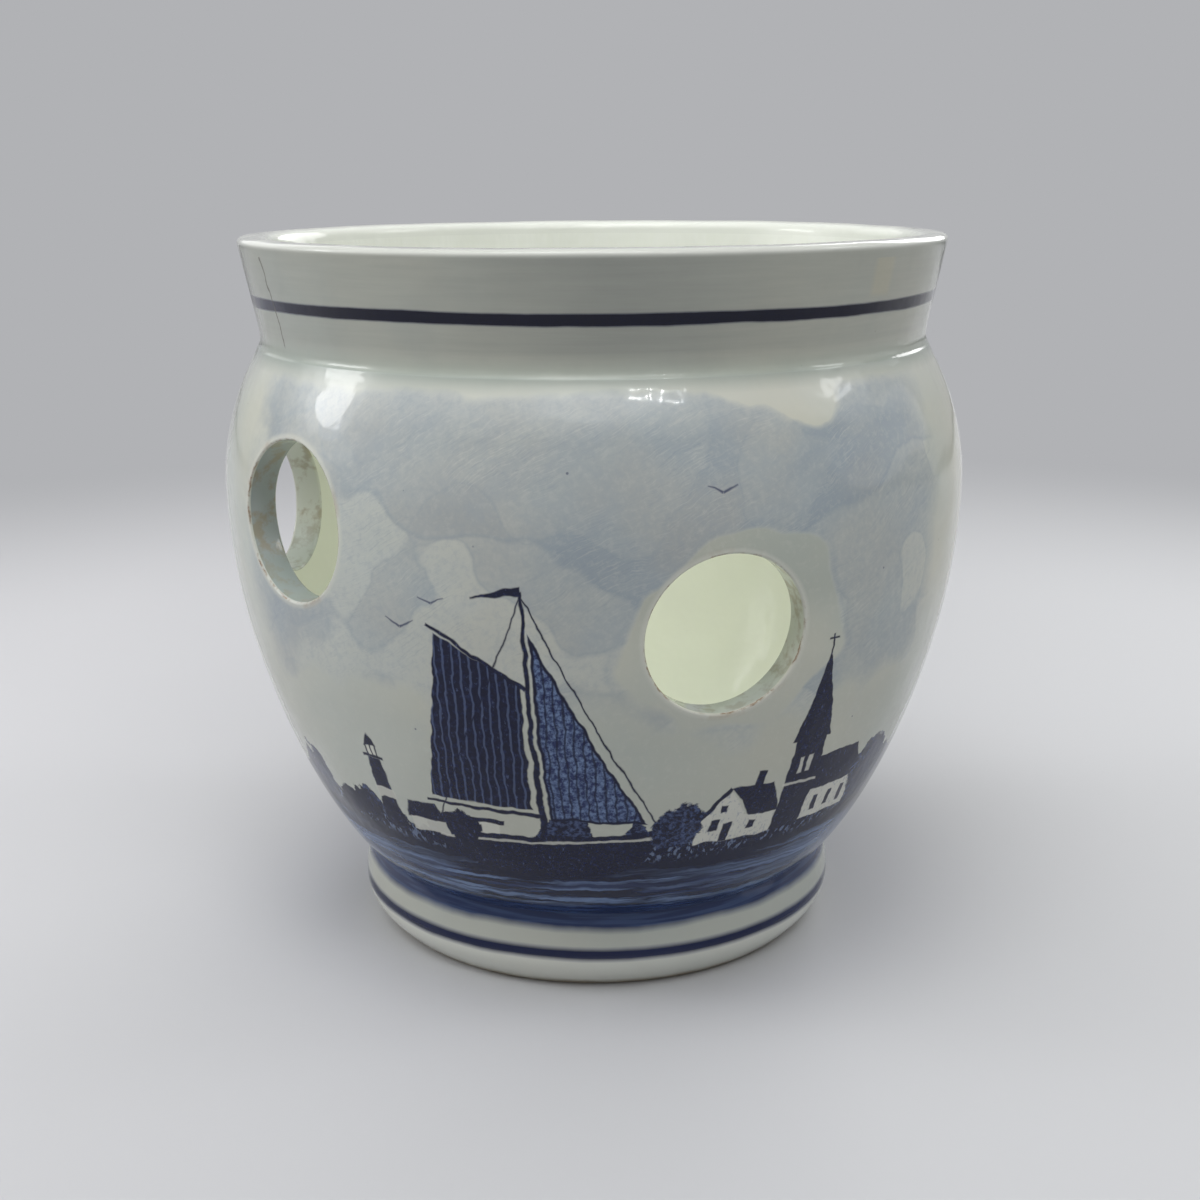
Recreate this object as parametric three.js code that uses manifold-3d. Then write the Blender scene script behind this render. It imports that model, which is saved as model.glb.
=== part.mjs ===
// A footed bulb pot of glazed earthenware: a round belly pierced by six planting holes,
// a flared collar with a rounded lip, and a flat base on a turned foot ring.
// Millimetres, +Z up. The origin is the centre of the foot ring's underside.
// The front of the pot faces -Y. A turn is an angle in degrees from the front towards +X.

import * as THREE from 'three';
import { mergeVertices } from 'three/addons/utils/BufferGeometryUtils.js';
import Module from 'manifold-3d';

// Thickness of the clay
const WALL = 5.0;
const BASE_THICKNESS = 6.9;

// Foot: it spreads to a bulge at the ring's top, and draws in again up to the belly
const FOOT_RING_HEIGHT = 6.8;
const FOOT_RING_WIDTH = 4.8;
const FOOT_BOTTOM_RADIUS = 38.4;
const FOOT_SPREAD = 3.7;
const FOOT_SPREAD_LEAN = 45.0;
const FOOT_SPREAD_PULL = 2.9;
const FOOT_DRAW_IN = 1.4;
const FOOT_EDGE_ROUNDING = 0.6;

// Belly, from the foot to its widest circle
const BELLY_RADIUS = 62.9;
const BELLY_RISE = 65.0;
const BELLY_START_LEAN = 51.9;
const BELLY_START_PULL = 9.8;
const BELLY_FULLNESS = 29.3;

// Shoulder, from the widest circle to the neck
const SHOULDER_RISE = 22.9;
const SHOULDER_FULLNESS = 11.5;
const SHOULDER_END_LEAN = 62.0;
const SHOULDER_END_PULL = 2.4;

// Collar, from the neck to the lip
const RIM_RADIUS = 58.5;
const COLLAR_FLARE = 3.3;
const COLLAR_HEIGHT = 15.4;

// Planting holes: the turn of each one, and its centre's drop below the widest circle
const HOLE_RADIUS = 12.3;
const HOLES = [
  { turn: 18.2, drop: 13.7 },
  { turn: 90.0, drop: 1.5 },
  { turn: 146.0, drop: 13.0 },
  { turn: 202.0, drop: 1.0 },
  { turn: 257.5, drop: 7.7 },
  { turn: 312.3, drop: 0.2 },
];
const HOLE_TO_SEAM = 3.0;

// How finely round shapes are divided
const TURN_STEPS = 72;
const HOLE_STEPS = 32;
const CURVE_SAMPLES = 240;
const EDGE_STEPS = 3;
const FOOT_LEVELS = 5;
const BELLY_LEVELS = 6;
const PIERCED_LEVELS = 8;
const SHOULDER_LEVELS = 4;
const COLLAR_LEVELS = 2;
const LIP_STEPS = 8;

// Radii and heights that follow from the sizes above
const FOOT_BULGE_RADIUS = FOOT_BOTTOM_RADIUS + FOOT_SPREAD;
const FOOT_TOP_RADIUS = FOOT_BULGE_RADIUS - FOOT_DRAW_IN;
const NECK_RADIUS = RIM_RADIUS - COLLAR_FLARE;
const BASE_TOP = FOOT_RING_HEIGHT + BASE_THICKNESS;
const WIDEST_HEIGHT = BASE_TOP + BELLY_RISE;
const NECK_HEIGHT = WIDEST_HEIGHT + SHOULDER_RISE;
const LIP_BASE = NECK_HEIGHT + COLLAR_HEIGHT;
const LOWEST_HOLE_DROP = Math.max(...HOLES.map((hole) => hole.drop));
const HIGHEST_HOLE_DROP = Math.min(...HOLES.map((hole) => hole.drop));
const LOWER_SEAM = WIDEST_HEIGHT - LOWEST_HOLE_DROP - HOLE_RADIUS - HOLE_TO_SEAM;
const UPPER_SEAM = WIDEST_HEIGHT - HIGHEST_HOLE_DROP + HOLE_RADIUS + HOLE_TO_SEAM;

const radians = THREE.MathUtils.degToRad;
const point = (radius, height) => new THREE.Vector2(radius, height);

// A point some way off in a direction that leans outward from straight up
function leaningPoint(from, length, lean) {
  return point(from.x + length * Math.sin(lean), from.y + length * Math.cos(lean));
}

const beltPoint = point(BELLY_RADIUS, WIDEST_HEIGHT);
const bulgePoint = point(FOOT_BULGE_RADIUS, FOOT_RING_HEIGHT);
const footTopPoint = point(FOOT_TOP_RADIUS, BASE_TOP);
const neckPoint = point(NECK_RADIUS, NECK_HEIGHT);
const collarLean = Math.atan(COLLAR_FLARE / COLLAR_HEIGHT);

const bellyCurve = new THREE.CubicBezierCurve(
  footTopPoint,
  leaningPoint(footTopPoint, BELLY_START_PULL, radians(BELLY_START_LEAN)),
  point(BELLY_RADIUS, WIDEST_HEIGHT - BELLY_FULLNESS),
  beltPoint,
);

const shoulderCurve = new THREE.CubicBezierCurve(
  beltPoint,
  point(BELLY_RADIUS, WIDEST_HEIGHT + SHOULDER_FULLNESS),
  leaningPoint(neckPoint, -SHOULDER_END_PULL, -radians(SHOULDER_END_LEAN)),
  neckPoint,
);

// The outside of the pot from the base to the lip, seen in section
function outerSection() {
  const section = [...bellyCurve.getPoints(CURVE_SAMPLES), ...shoulderCurve.getPoints(CURVE_SAMPLES)];
  section.push(point(RIM_RADIUS, LIP_BASE));
  return section;
}

// The inside, one wall thickness in from the outside, rounded where the neck folds
function innerSection() {
  const inward = (curve, t) => {
    const along = curve.getTangent(t);
    return curve.getPoint(t).add(point(-along.y, along.x).multiplyScalar(WALL));
  };
  const steps = Array.from({ length: CURVE_SAMPLES + 1 }, (_, step) => step / CURVE_SAMPLES);
  const section = [
    ...steps.map((t) => inward(bellyCurve, t)),
    ...steps.map((t) => inward(shoulderCurve, t)),
  ];
  const shoulderSide = section.at(-1).clone().sub(neckPoint).angle();
  const collarSide = Math.PI - collarLean;
  const fold = new THREE.EllipseCurve(neckPoint.x, neckPoint.y, WALL, WALL, shoulderSide, collarSide, true);
  section.push(...fold.getPoints(CURVE_SAMPLES / 4));
  section.push(leaningPoint(section.at(-1), COLLAR_HEIGHT * 2, collarLean));
  const first = section[0];
  const drop = first.y - BASE_TOP;
  section.unshift(point(first.x - drop * Math.tan(radians(BELLY_START_LEAN)), BASE_TOP));
  return section;
}

// The radius of a section line at a height
function radiusAt(section, height) {
  const above = section.findIndex((end, i) => i > 0 && end.y >= height && section[i - 1].y <= height);
  const [low, high] = [section[above - 1], section[above]];
  const share = high.y > low.y ? (height - low.y) / (high.y - low.y) : 0;
  return THREE.MathUtils.lerp(low.x, high.x, share);
}

const outside = outerSection();
const inside = innerSection();

// A closed outline turned about the pot's axis, with Z up
function turned(outline) {
  const profile = [...outline, outline[0]];
  const geometry = new THREE.LatheGeometry(profile, TURN_STEPS);
  geometry.rotateX(Math.PI / 2);
  return welded(geometry);
}

function welded(geometry) {
  geometry.deleteAttribute('normal');
  geometry.deleteAttribute('uv');
  return mergeVertices(geometry, 1e-4);
}

// A length of the pot's wall between two heights, with flat ends
function wallBand(bottom, top, levels) {
  const heights = Array.from({ length: levels + 1 }, (_, level) => (
    THREE.MathUtils.lerp(bottom, top, level / levels)
  ));
  const up = heights.map((height) => point(radiusAt(outside, height), height));
  const down = heights.map((height) => point(radiusAt(inside, height), height)).reverse();
  return turned([...up, ...down]);
}

// Joining and cutting of closed bodies
const wasm = await Module();
wasm.setup();

function toSolid(geometry) {
  return new wasm.Manifold(new wasm.Mesh({
    numProp: 3,
    vertProperties: new Float32Array(geometry.attributes.position.array),
    triVerts: new Uint32Array(geometry.index.array),
  }));
}

function toGeometry(solid) {
  const mesh = solid.getMesh();
  const geometry = new THREE.BufferGeometry();
  geometry.setAttribute('position', new THREE.BufferAttribute(mesh.vertProperties, 3));
  geometry.setIndex(new THREE.BufferAttribute(mesh.triVerts, 1));
  return geometry;
}

// The round plug of clay that is cut out for one planting hole
function holePlug(hole) {
  const height = WIDEST_HEIGHT - hole.drop;
  const turn = radians(hole.turn);
  const plug = new THREE.CylinderGeometry(HOLE_RADIUS, HOLE_RADIUS, WALL * 6, HOLE_STEPS);
  const middle = radiusAt(outside, height) - WALL / 2;
  plug.translate(0, -middle, 0);
  plug.rotateZ(turn);
  plug.translate(0, 0, height);
  return welded(plug);
}

// Foot ring: the flat-bottomed ring that the pot stands on
function footRing() {
  const innerRadius = FOOT_BOTTOM_RADIUS - FOOT_RING_WIDTH;
  const round = FOOT_EDGE_ROUNDING;
  const lean = radians(FOOT_SPREAD_LEAN);
  const outerEdge = new THREE.EllipseCurve(
    FOOT_BOTTOM_RADIUS - round, round, round, round, -Math.PI / 2, -lean,
  ).getPoints(EDGE_STEPS);
  const edgeEnd = outerEdge.at(-1);
  const spread = new THREE.CubicBezierCurve(
    edgeEnd,
    leaningPoint(edgeEnd, FOOT_SPREAD_PULL, lean),
    point(FOOT_BULGE_RADIUS, FOOT_RING_HEIGHT - FOOT_SPREAD_PULL),
    bulgePoint,
  ).getPoints(FOOT_LEVELS);
  const innerEdge = new THREE.EllipseCurve(
    innerRadius + round, round, round, round, Math.PI, Math.PI * 1.5,
  ).getPoints(EDGE_STEPS);
  return turned([
    ...outerEdge,
    ...spread.slice(1),
    point(innerRadius, FOOT_RING_HEIGHT),
    ...innerEdge,
  ]);
}

// Base disc: the pot's floor, seated on the foot ring, with the belly standing on its edge
function baseDisc() {
  const drawnIn = new THREE.QuadraticBezierCurve(
    bulgePoint,
    point(FOOT_BULGE_RADIUS, FOOT_RING_HEIGHT + BASE_THICKNESS / 2),
    footTopPoint,
  );
  const halfSection = [
    point(0, FOOT_RING_HEIGHT),
    ...drawnIn.getPoints(FOOT_LEVELS),
    point(0, BASE_TOP),
  ];
  const geometry = new THREE.LatheGeometry(halfSection, TURN_STEPS);
  geometry.rotateX(Math.PI / 2);
  return welded(geometry);
}

// Pierced belly: the widest part of the wall, with the planting holes cut through it
function piercedBelly() {
  let wall = toSolid(wallBand(LOWER_SEAM, UPPER_SEAM, PIERCED_LEVELS));
  for (const hole of HOLES) {
    wall = wall.subtract(toSolid(holePlug(hole)));
  }
  return toGeometry(wall);
}

// Rim lip: the half-round edge that closes the collar
function rimLip() {
  const outer = radiusAt(outside, LIP_BASE);
  const inner = radiusAt(inside, LIP_BASE);
  const middle = (outer + inner) / 2;
  const halfWidth = (outer - inner) / 2;
  const crown = new THREE.EllipseCurve(middle, LIP_BASE, halfWidth, WALL / 2, 0, Math.PI);
  return turned(crown.getPoints(LIP_STEPS));
}

const GLAZE = { roughness: 0.18, metalness: 0 };
const IVORY = '#dcdccf';
const PALE_BLUE = '#b9c2c6';
const BARE_CLAY = '#cdbfa6';

function piece(name, geometry, colour) {
  const mesh = new THREE.Mesh(geometry, new THREE.MeshStandardMaterial({ color: colour, ...GLAZE }));
  mesh.name = name;
  return mesh;
}

const bulbPot = new THREE.Group();
bulbPot.add(
  piece('foot_ring', footRing(), BARE_CLAY),
  piece('base_disc', baseDisc(), IVORY),
  piece('lower_belly', wallBand(BASE_TOP, LOWER_SEAM, BELLY_LEVELS), IVORY),
  piece('pierced_belly', piercedBelly(), PALE_BLUE),
  piece('shoulder', wallBand(UPPER_SEAM, NECK_HEIGHT, SHOULDER_LEVELS), PALE_BLUE),
  piece('collar', wallBand(NECK_HEIGHT, LIP_BASE, COLLAR_LEVELS), IVORY),
  piece('rim_lip', rimLip(), IVORY),
);

export default bulbPot;
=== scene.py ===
import math
from functools import partialmethod

import bpy
import numpy as np
from mathutils import Matrix, Vector


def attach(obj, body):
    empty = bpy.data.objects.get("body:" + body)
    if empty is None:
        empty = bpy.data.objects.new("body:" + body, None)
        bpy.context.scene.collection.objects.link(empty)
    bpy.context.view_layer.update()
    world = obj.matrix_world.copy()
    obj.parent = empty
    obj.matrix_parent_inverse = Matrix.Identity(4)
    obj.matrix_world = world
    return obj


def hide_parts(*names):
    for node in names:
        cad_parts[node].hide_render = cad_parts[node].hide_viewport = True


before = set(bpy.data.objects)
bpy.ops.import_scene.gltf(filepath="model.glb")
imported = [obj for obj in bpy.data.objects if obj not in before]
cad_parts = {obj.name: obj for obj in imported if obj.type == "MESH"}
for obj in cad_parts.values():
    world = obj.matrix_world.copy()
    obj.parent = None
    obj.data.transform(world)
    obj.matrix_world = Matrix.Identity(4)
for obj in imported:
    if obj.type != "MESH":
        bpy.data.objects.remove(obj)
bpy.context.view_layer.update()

# Foot ring
# The ring that the pot stands on, trimmed on the wheel from the same pale earthenware as the rest.
# The glaze runs down its side and was wiped off underneath, where the clay is bare and a little rough.
FOOT_BOTTOM_RADIUS = 0.0384
FOOT_BULGE_RADIUS = 0.0421
FOOT_TOP_RADIUS = 0.0407
FOOT_RING_HEIGHT = 0.0068
FOOT_TOP_HEIGHT = 0.0137
FOOT_RING_INNER_RADIUS = 0.0336
FOOT_ROUNDING = 0.0006
FOOT_SIDE_PULL = 0.0029
FOOT_SPREAD_LEAN = math.radians(45)
TURNS = 240
SMOOTH_BELOW = math.radians(40)
QUARTER_ROUND = 0.5523      # a handle's share of the way to the corner, for a round corner
TO_45_DEGREES = 0.29        # where an edge's rounding leans 45 degrees, in roundings from its corner
MEETING_45 = 0.586          # where that lean, carried on, meets the flat


def tint(red, green, blue):
    """A glaze or clay colour from its 0 to 255 values, as the plain light numbers that nodes take."""
    plain = [value / 255 for value in (red, green, blue)]
    return tuple(v / 12.92 if v <= 0.04045 else ((v + 0.055) / 1.055) ** 2.4 for v in plain)


def enter(mode):
    """Goes over to the edit mode of the piece at work, or back from it."""
    bpy.ops.object.mode_set(mode=mode)


def only(made):
    """Leaves nothing but this piece selected and active."""
    if bpy.context.object and bpy.context.object.mode != "OBJECT":
        enter("OBJECT")
    bpy.ops.object.select_all(action="DESELECT")
    made.select_set(True)
    bpy.context.view_layer.objects.active = made


def pick(made, kind, wanted):
    """In edit mode, selects the vertices, edges or faces whose numbers are wanted, and no others."""
    enter("EDIT")
    bpy.ops.mesh.select_mode(type={"vertices": "VERT", "edges": "EDGE", "polygons": "FACE"}[kind])
    bpy.ops.mesh.select_all(action="DESELECT")
    enter("OBJECT")
    chosen = np.zeros(len(getattr(made.data, kind)), dtype=bool)
    chosen[list(wanted)] = True
    getattr(made.data, kind).foreach_set("select", chosen)
    enter("EDIT")


def face_outwards():
    """Turns every face of the piece in edit mode to face out of the clay, and ends that mode."""
    bpy.ops.mesh.select_all(action="SELECT")
    bpy.ops.mesh.normals_make_consistent(inside=False)
    enter("OBJECT")


def turned(name, lines):
    """Turns a section about the pot's axis. Each line of the section is its radius and height at the
    start, its two handles and its end, and the number of rows that it is divided into."""
    bpy.ops.object.select_all(action="DESELECT")
    bpy.ops.curve.primitive_bezier_curve_add()
    made = bpy.context.object
    made.name = name
    made.data.dimensions = "3D"
    made.data.splines.clear()
    for start, first, second, end, rows in lines:
        line = made.data.splines.new("BEZIER")
        line.bezier_points.add(1)
        line.resolution_u = rows
        for point, near, left, right in zip(line.bezier_points, (start, end), (start, second), (first, end)):
            point.handle_left_type = point.handle_right_type = "FREE"
            point.co = (near[0], 0, near[1])
            point.handle_left = (left[0], 0, left[1])
            point.handle_right = (right[0], 0, right[1])
    only(made)
    bpy.ops.object.convert(target="MESH")
    enter("EDIT")
    bpy.ops.mesh.select_all(action="SELECT")
    bpy.ops.mesh.remove_doubles(threshold=1e-6)
    bpy.ops.mesh.spin(steps=TURNS, angle=2 * math.pi, center=(0, 0, 0), axis=(0, 0, 1))
    bpy.ops.mesh.select_all(action="SELECT")
    bpy.ops.mesh.remove_doubles(threshold=2e-6)
    face_outwards()
    return made


def between(start, end, share):
    """A point of the section, part of the way from one point to another."""
    return [start[i] + (end[i] - start[i]) * share for i in (0, 1)]


def straight(start, end, rows):
    """A straight line of a section."""
    return start, between(start, end, 1 / 3), between(start, end, 2 / 3), end, rows


def rounded(start, corner, end, rows=4):
    """A rounded corner of a section."""
    return start, between(start, corner, QUARTER_ROUND), between(end, corner, QUARTER_ROUND), end, rows


foot_bulge = (FOOT_BULGE_RADIUS, FOOT_RING_HEIGHT)
outer_low = (FOOT_BOTTOM_RADIUS - FOOT_ROUNDING, 0.0)
outer_up = (FOOT_BOTTOM_RADIUS - FOOT_ROUNDING * TO_45_DEGREES, FOOT_ROUNDING * TO_45_DEGREES)
side_low = (
    outer_up[0] + FOOT_SIDE_PULL * math.sin(FOOT_SPREAD_LEAN),
    outer_up[1] + FOOT_SIDE_PULL * math.cos(FOOT_SPREAD_LEAN),
)
side_high = (FOOT_BULGE_RADIUS, FOOT_RING_HEIGHT - FOOT_SIDE_PULL)
inner_low = (FOOT_RING_INNER_RADIUS + 2 * FOOT_ROUNDING, 0.0)
inner_up = (FOOT_RING_INNER_RADIUS, 2 * FOOT_ROUNDING)
inner_top = (FOOT_RING_INNER_RADIUS, FOOT_RING_HEIGHT)
foot_ring = turned("turned_foot_ring", [
    straight(inner_low, outer_low, 6),
    rounded(outer_low, (FOOT_BOTTOM_RADIUS - FOOT_ROUNDING * MEETING_45, 0.0), outer_up),
    (outer_up, side_low, side_high, foot_bulge, 12),
    straight(foot_bulge, inner_top, 4),
    straight(inner_top, inner_up, 3),
    rounded(inner_up, (FOOT_RING_INNER_RADIUS, 0.0), inner_low),
])
bpy.ops.object.shade_smooth_by_angle(angle=SMOOTH_BELOW)


class Shade:
    """A value in a finish. Sums and products with it add Math nodes to that finish."""

    def __init__(self, finish, socket):
        self.finish = finish
        self.socket = socket

    def math(self, operation, *others, clamp=False):
        settings = {"operation": operation, "use_clamp": clamp}
        return self.finish.node("ShaderNodeMath", settings, dict(enumerate((self, *others))))

    def __rsub__(self, other):
        return self.finish.node("ShaderNodeMath", {"operation": "SUBTRACT"}, {0: other, 1: self})

    __add__ = __radd__ = partialmethod(math, "ADD")
    __sub__ = partialmethod(math, "SUBTRACT")
    __mul__ = partialmethod(math, "MULTIPLY")
    __truediv__ = partialmethod(math, "DIVIDE")
    __neg__ = partialmethod(math, "MULTIPLY", -1.0)
    __abs__ = partialmethod(math, "ABSOLUTE")
    larger = partialmethod(math, "MAXIMUM")     # of two shares either one, of two distances inside both
    smaller = partialmethod(math, "MINIMUM")    # of two distances inside one shape or the other

    def under(self, edge, soft):
        """1 where the value is below the edge, 0 above it, with a soft step between."""
        return self.math("MULTIPLY_ADD", -1 / soft, 0.5 + edge / soft, clamp=True)

    def over(self, edge, soft):
        """1 where the value is above the edge, 0 below it, with a soft step between."""
        return self.math("MULTIPLY_ADD", 1 / soft, 0.5 - edge / soft, clamp=True)

    def band(self, middle, width, soft):
        """1 within half a width of the middle."""
        return abs(self - middle).under(width / 2, soft)


class Finish:
    """The nodes of one clay or glaze."""

    def __init__(self, name):
        self.material = bpy.data.materials.new(name)
        self.material.use_nodes = True
        self.surface = self.material.node_tree.nodes["Principled BSDF"]
        self.where = self.node("ShaderNodeTexCoord", {}, {}, "Object")
        self.where = self.vector("MULTIPLY", self.where, (1000, 1000, 1000))
        self.sideways, self.inwards, self.height = self.parts(self.where)

    def node(self, kind, settings, sockets, out=0):
        """Adds a node, with its settings first and then its sockets' values or links."""
        made = self.material.node_tree.nodes.new(kind)
        for setting, value in settings.items():
            setattr(made, setting, value)
        for socket, value in sockets.items():
            self.feed(made.inputs[socket], value)
        return Shade(self, made.outputs[out])

    def feed(self, socket, value):
        if isinstance(value, Shade):
            self.material.node_tree.links.new(value.socket, socket)
        elif socket.type == "RGBA":
            socket.default_value = (*value, 1)
        else:
            socket.default_value = value

    def vector(self, operation, *values, out=0):
        return self.node("ShaderNodeVectorMath", {"operation": operation}, dict(enumerate(values)), out)

    def parts(self, value):
        split = self.node("ShaderNodeSeparateXYZ", {}, {0: value})
        return [Shade(self, socket) for socket in split.socket.node.outputs]

    def together(self, x, y, z):
        return self.node("ShaderNodeCombineXYZ", {}, {0: x, 1: y, 2: z})

    def from_axis(self):
        """How far out from the pot's axis, in millimetres."""
        return self.vector("LENGTH", self.together(self.sideways, self.inwards, 0.0), out="Value")

    def stored(self, name):
        """A value that the piece holds for each of its places."""
        return self.node("ShaderNodeAttribute", {"attribute_name": name}, {}, "Fac")

    def stretched(self, by, at=None):
        """The coordinates, drawn out the other way from how they are multiplied."""
        return self.vector("MULTIPLY", at or self.where, by)

    def cells(self, scale):
        """Scattered dots: the distance to the nearest one's middle, and two chance values of its own."""
        sockets = {"Vector": self.where, "Scale": scale, "Randomness": 1.0}
        away = self.node("ShaderNodeTexVoronoi", {"feature": "F1"}, sockets, "Distance")
        chances = self.node("ShaderNodeTexVoronoi", {"feature": "F1"}, sockets, "Color")
        return (away, *self.parts(chances)[:2])

    def noise(self, scale, detail=2.0, at=None, rough=0.5, out="Fac"):
        """Soft cloudy noise, its scale in patches to the millimetre."""
        sockets = {"Vector": at or self.where, "Scale": scale, "Detail": detail, "Roughness": rough}
        return self.node("ShaderNodeTexNoise", {}, sockets, out)

    def mix(self, share, below, above):
        settings = {"data_type": "RGBA", "clamp_factor": True}
        return self.node("ShaderNodeMix", settings, {0: share, 6: below, 7: above}, 2)

    def lay(self, share, colour):
        """Lays a colour over the finish's own colour so far."""
        self.colour = self.mix(share, self.colour, colour)

    def wear(self, colour, roughness, height, depth):
        """Feeds the surface, with a bump of the given depth in metres."""
        self.feed(self.surface.inputs["Base Color"], colour)
        self.feed(self.surface.inputs["Roughness"], roughness)
        sockets = {"Strength": 1.0, "Distance": depth, "Height": height}
        self.feed(self.surface.inputs["Normal"], self.node("ShaderNodeBump", {}, sockets))


CREAM = tint(200, 202, 190)
WARM_CREAM = tint(205, 204, 188)
COOL_CREAM = tint(190, 197, 189)
POOLED_GLAZE = tint(150, 163, 156)
WORN_BROWN = tint(142, 108, 62)
LIME = tint(225, 229, 211)
LIT_RIM_WHITE = tint(238, 241, 233)
STRIPE_NAVY = tint(3, 7, 34)
STRIPE_BLUE = tint(38, 54, 108)
WATER_EDGE = tint(60, 78, 116)
WATER_EDGE_STREAK = tint(36, 48, 86)
STRIPE_HEIGHT_ON_FOOT = 7.0
STRIPE_HEIGHT_ON_COLLAR = 109.7


def cream_glaze(finish):
    """The bare glaze: warmer and cooler patches, and hair-fine specks of iron."""
    patches = finish.noise(0.035, 3.0)
    colour = finish.mix(patches.over(0.5, 0.35), WARM_CREAM, COOL_CREAM)
    colour = finish.mix(finish.noise(0.4, 4.0).over(0.55, 0.5) * 0.35, colour, CREAM)
    away, chance, strength = finish.cells(0.33)
    speck = away.under(0.045, 0.03) * chance.over(0.86, 0.02) * strength
    return finish.mix(speck * 0.55, colour, tint(96, 92, 84))


def stripe(finish, colour, height, width, soft=0.35, thin=0.0):
    """A band laid on with a full brush while the pot turns: dark in the middle, thin at its edges."""
    wander = finish.noise(0.03, 2.0) - 0.5
    away = abs(finish.height - height + wander * 0.7)
    full = width / 2 + (finish.noise(0.12, 3.0) - 0.5) * 0.35
    edge = (away - full).under(0.0, soft)
    load = finish.noise(0.025, 1.0).over(0.66, 0.25) * 0.4 + (away / full).over(1.05, 0.5) * 0.8 + thin
    return finish.mix(edge, colour, finish.mix(load, STRIPE_NAVY, STRIPE_BLUE))


def pooled(finish, colour, height, reach):
    """Thicker, greener glaze lying in a crease."""
    depth = abs(finish.height - height).under(reach * 0.5, reach)
    return finish.mix(depth * (0.35 + finish.noise(0.06, 2.0) * 0.5), colour, POOLED_GLAZE)


def glassy(finish, colour, runs_and_glints=0.0):
    """Gloss glaze: a faint sag in the surface and a few pinholes."""
    sag = finish.noise(0.05, 1.0) + finish.noise(0.35, 1.0) * 0.06 + runs_and_glints
    roughness = 0.05 + finish.noise(0.5, 3.0) * 0.07
    finish.wear(colour, roughness, sag, 0.0012)
    finish.feed(finish.surface.inputs["IOR"], 1.38)


def outer_side(finish):
    """1 on the outer side of the foot, 0 underneath it and inside the pot."""
    return finish.from_axis().over(37.0, 1.0)


foot_finish = Finish("glazed_foot_with_bare_rest")
# painted light: the foot's cream is mixed paler than the rest of the glaze, standing for the light that the
# floor throws up onto the low foot
lit_foot_cream = foot_finish.mix(0.7, cream_glaze(foot_finish), tint(232, 234, 226))
striped = stripe(foot_finish, lit_foot_cream, STRIPE_HEIGHT_ON_FOOT, 2.0, 0.9, 0.3)
lit_foot_cream = foot_finish.mix(outer_side(foot_finish), lit_foot_cream, striped)
brown_line = foot_finish.height.under(0.9, 1.0) * foot_finish.noise(0.15, 4.0).over(0.42, 0.4)
lit_foot_cream = foot_finish.mix(brown_line * 0.6, lit_foot_cream, WORN_BROWN)
grain = foot_finish.noise(2.2, 6.0, rough=0.65)
bare = foot_finish.mix(grain.over(0.5, 0.6), tint(214, 203, 182), tint(186, 168, 138))
wiped = (foot_finish.height + grain * 0.25).under(0.34, 0.12)
wiped = wiped.larger(foot_finish.from_axis().under(34.4, 0.6) * foot_finish.height.under(1.2, 0.4))
foot_colour = foot_finish.mix(wiped, lit_foot_cream, bare)
foot_finish.wear(foot_colour, 0.13 + wiped * 0.6, grain * wiped, 0.0002)
foot_ring.data.materials.append(foot_finish.material)
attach(foot_ring, "root")
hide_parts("foot_ring")

# Floor of the pot
# The closed bottom, cast in one with the foot: its edge is the upper part of the foot outside.
# It is glazed all over, and the edge carries half of the navy line and the end of the painted water.
LEVEL = (0.042, 0.042, 0.85)
floor_rim = (FOOT_TOP_RADIUS, FOOT_TOP_HEIGHT)
drawn_in = (FOOT_BULGE_RADIUS, (FOOT_RING_HEIGHT + FOOT_TOP_HEIGHT) / 2)
pot_floor = turned("floor_of_the_pot", [
    straight((0.0, FOOT_RING_HEIGHT), foot_bulge, 10),
    (foot_bulge, between(foot_bulge, drawn_in, 2 / 3), between(floor_rim, drawn_in, 2 / 3), floor_rim, 10),
    straight(floor_rim, (0.0, FOOT_TOP_HEIGHT), 12),
])
bpy.ops.object.shade_smooth_by_angle(angle=SMOOTH_BELOW)
floor_finish = Finish("glazed_floor_and_foot_stripe")
# painted shade: the outer edge's cream is greyed, standing for the shade under the belly's overhang
floor_colour_with_shade = floor_finish.mix(0.6, cream_glaze(floor_finish), tint(184, 188, 181))
striped = stripe(floor_finish, floor_colour_with_shade, STRIPE_HEIGHT_ON_FOOT, 2.0, 0.9, 0.3)
wander = floor_finish.noise(0.09, 3.0) - 0.5
streaks = floor_finish.noise(1.8, 2.0, floor_finish.stretched(LEVEL))
streaked = floor_finish.mix(streaks.over(0.48, 0.14) * 0.75, WATER_EDGE, WATER_EDGE_STREAK)
striped = floor_finish.mix((floor_finish.height + wander * 1.2).over(11.2, 1.3), striped, streaked)
floor_inside = floor_finish.mix(0.7 + floor_finish.noise(0.05, 3.0) * 0.3, cream_glaze(floor_finish), LIME)
floor_colour_with_shade = floor_finish.mix(outer_side(floor_finish), floor_inside, striped)
glassy(floor_finish, floor_colour_with_shade)
pot_floor.data.materials.append(floor_finish.material)
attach(pot_floor, "root")
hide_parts("base_disc")

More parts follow.
